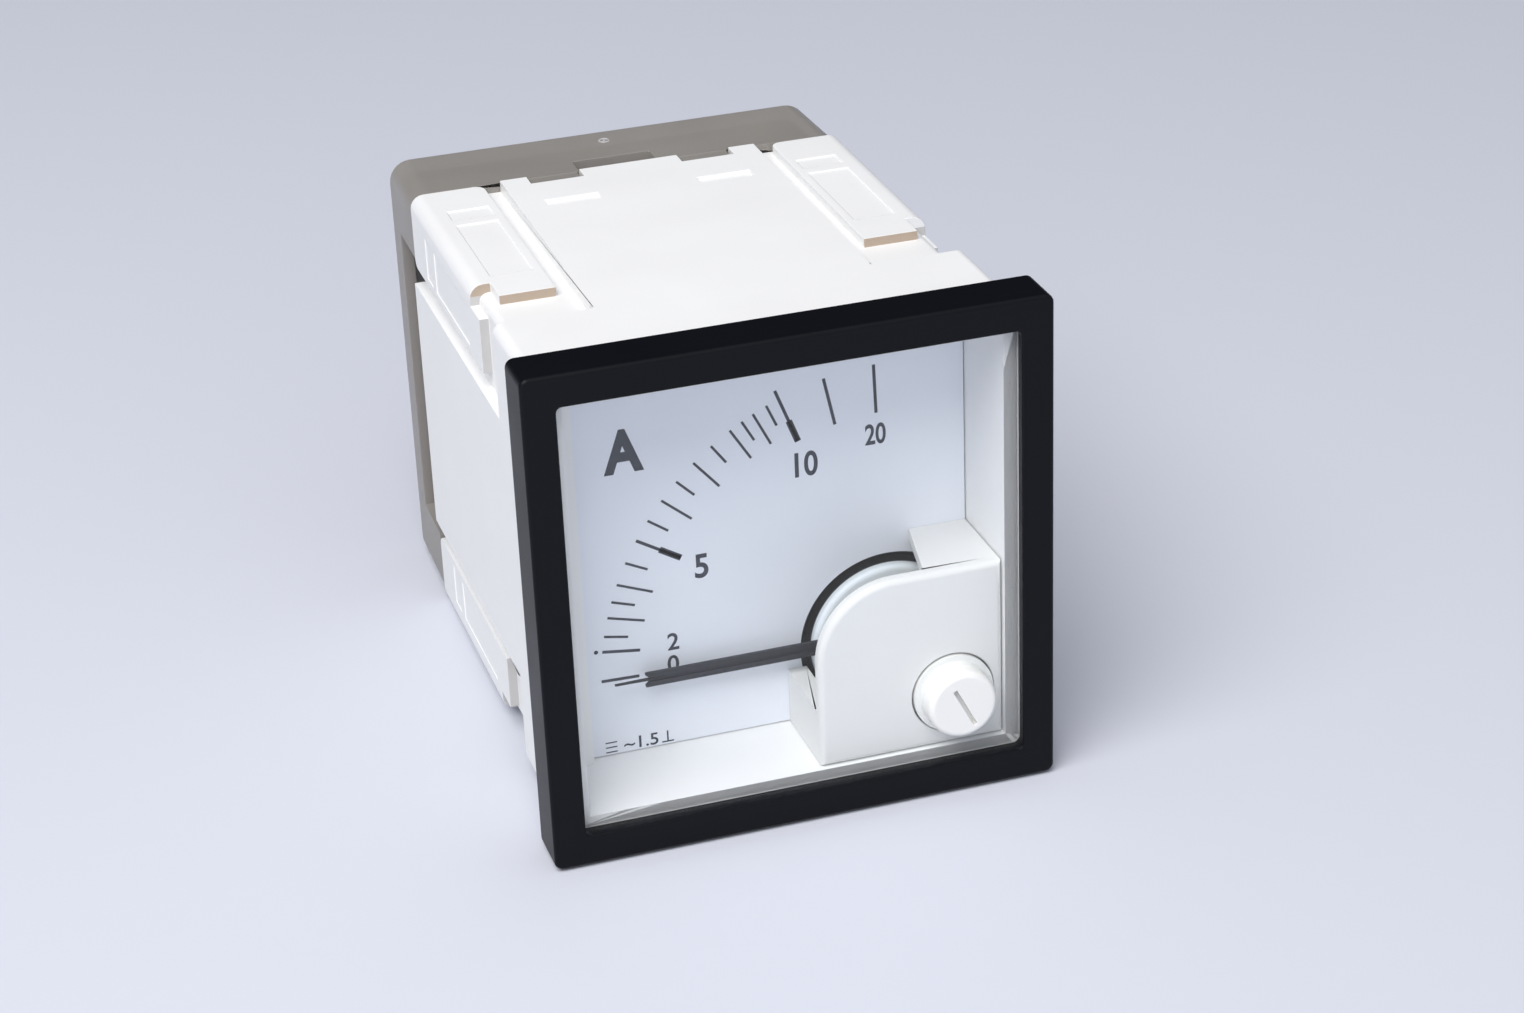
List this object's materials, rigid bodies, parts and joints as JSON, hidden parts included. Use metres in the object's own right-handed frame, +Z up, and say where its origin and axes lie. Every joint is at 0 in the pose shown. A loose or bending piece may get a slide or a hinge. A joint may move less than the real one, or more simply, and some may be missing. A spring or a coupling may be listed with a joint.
{
  "type": "panel ammeter",
  "caption": "Square panel-mount analog ammeter with a quadrant scale, a swinging pointer, a slotted zero adjuster, a white case and a smoke-tinted rear terminal cover.",
  "frame": {"origin": "centre of the bezel's rear face, the plane that seats on the panel", "axes": "+X right seen from the front, +Y back into the panel, +Z up"},
  "size_m": [0.048, 0.0629, 0.048],
  "materials": {
    "black_plastic": "satin",
    "clear_window": "gloss",
    "white_plastic": "satin",
    "cover_white": "satin",
    "knob_white": "satin",
    "drum_white": "satin",
    "dial_white": "matte",
    "pointer_grey": "matte",
    "smoke_plastic": "satin",
    "brass": "satin",
    "spring_bronze": "satin",
    "tinned_brass": "satin",
    "steel": "polished",
    "zinc_steel": "satin",
    "soft_iron": "satin",
    "aluminium": "satin",
    "copper_wire": "satin"
  },
  "bodies": {
    "case": {"front_bezel": "black_plastic", "window": "clear_window", "dial_frame": "white_plastic", "dial_plate": "dial_white", "movement_cover": "cover_white", "front_bridge": "brass", "front_jewel": "brass", "rear_jewel": "brass", "rear_jewel_nut": "brass", "fixed_vane": "soft_iron", "damping_chamber": "aluminium", "damping_lid": "aluminium", "coil_bobbin": "drum_white", "coil_winding": "copper_wire", "coil_leads": "copper_wire", "movement_frame": "zinc_steel", "movement_screws": "zinc_steel", "pointer_stops": "steel", "main_case": "white_plastic", "terminal_plate_left": "tinned_brass", "terminal_plate_right": "tinned_brass"},
    "adjuster": {"zero_adjuster": "knob_white"},
    "lever": {"zero_lever": "brass"},
    "pointer": {"pointer": "pointer_grey", "pointer_hub": "brass", "counterweights": "brass", "spindle": "steel", "moving_vane": "soft_iron", "damping_vane": "aluminium", "hairspring": "spring_bronze"},
    "rear_cover": {"rear_cover": "smoke_plastic"},
    "clamp_left": {"clamp_washer_left": "zinc_steel"},
    "clamp_right": {"clamp_washer_right": "zinc_steel"},
    "screw_left": {"terminal_screw_left": "zinc_steel"},
    "screw_right": {"terminal_screw_right": "zinc_steel"}
  },
  "joints": [
    {"name": "zero_adjust_turn", "type": "hinge", "parent": "case", "child": "adjuster", "pos_m": [0.015, -0.003, -0.015], "axis": [0, 1, 0], "range_deg": [-20, 20]},
    {"name": "zero_lever_turn", "type": "hinge", "parent": "case", "child": "lever", "pos_m": [0.0121, 0.001, -0.0132], "axis": [0, 1, 0], "range_deg": [-3, 3]},
    {"name": "pointer_swing", "type": "hinge", "parent": "lever", "child": "pointer", "pos_m": [0.0121, 0.01, -0.0132], "axis": [0, 1, 0], "range_deg": [0, 86.5], "stiffness_Nm_per_rad": 0.00006, "deforming": ["hairspring"]},
    {"name": "rear_cover_slide", "type": "slide", "parent": "case", "child": "rear_cover", "axis": [0, 1, 0], "range_m": [0, 0.022]},
    {"name": "clamp_left_slide", "type": "slide", "parent": "case", "child": "clamp_left", "axis": [0, 1, 0], "range_m": [0, 0.00215]},
    {"name": "screw_left_turn", "type": "hinge", "parent": "clamp_left", "child": "screw_left", "pos_m": [-0.0095, 0.048, 0], "axis": [0, 1, 0], "range_deg": [0, 1080]},
    {"name": "clamp_right_slide", "type": "slide", "parent": "case", "child": "clamp_right", "axis": [0, 1, 0], "range_m": [0, 0.00215]},
    {"name": "screw_right_turn", "type": "hinge", "parent": "clamp_right", "child": "screw_right", "pos_m": [0.0095, 0.048, 0], "axis": [0, 1, 0], "range_deg": [0, 1080]}
  ],
  "couplings": [
    {"joint": "zero_lever_turn", "follows": "zero_adjust_turn", "ratio": 0.1495}
  ]
}
